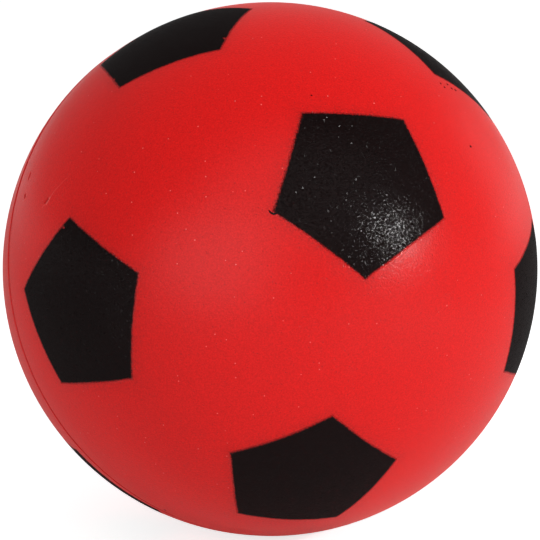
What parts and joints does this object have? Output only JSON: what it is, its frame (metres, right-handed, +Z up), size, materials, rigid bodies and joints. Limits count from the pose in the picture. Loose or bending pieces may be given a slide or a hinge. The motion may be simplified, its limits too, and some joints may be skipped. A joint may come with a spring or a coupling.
{
  "type": "foam soccer ball",
  "caption": "Soft foam soccer ball: a foam core in a red moulded skin with a parting line, black sprayed pentagons in the traditional pattern, and a small flat where it rests.",
  "frame": {"origin": "middle of the small flat that the ball rests on, in the plane of the floor", "axes": "+Z up through the centre of the ball, -Y out of the front of the ball, +X to the right as the front is seen"},
  "size_m": [0.2002, 0.1996, 0.1994],
  "materials": {
    "soft_foam": "open-cell flexible polyurethane foam, matte, cream (hidden, colour guessed)",
    "red_skin": "moulded soft polyurethane skin, red, satin with a fine pinhole grain",
    "black_coat": "sprayed flexible paint, black, semi-gloss over the fine grain of the skin"
  },
  "bodies": {
    "root": {"foam_core": "soft_foam", "front_skin": "red_skin", "rear_skin": "red_skin", "pentagon_front_centre": "black_coat", "pentagon_front_1": "black_coat", "pentagon_front_2": "black_coat", "pentagon_front_3": "black_coat", "pentagon_front_4": "black_coat", "pentagon_front_5": "black_coat", "pentagon_rear_1": "black_coat", "pentagon_rear_2": "black_coat", "pentagon_rear_3": "black_coat", "pentagon_rear_4": "black_coat", "pentagon_rear_5": "black_coat", "pentagon_rear_centre": "black_coat"}
  },
  "joints": []
}
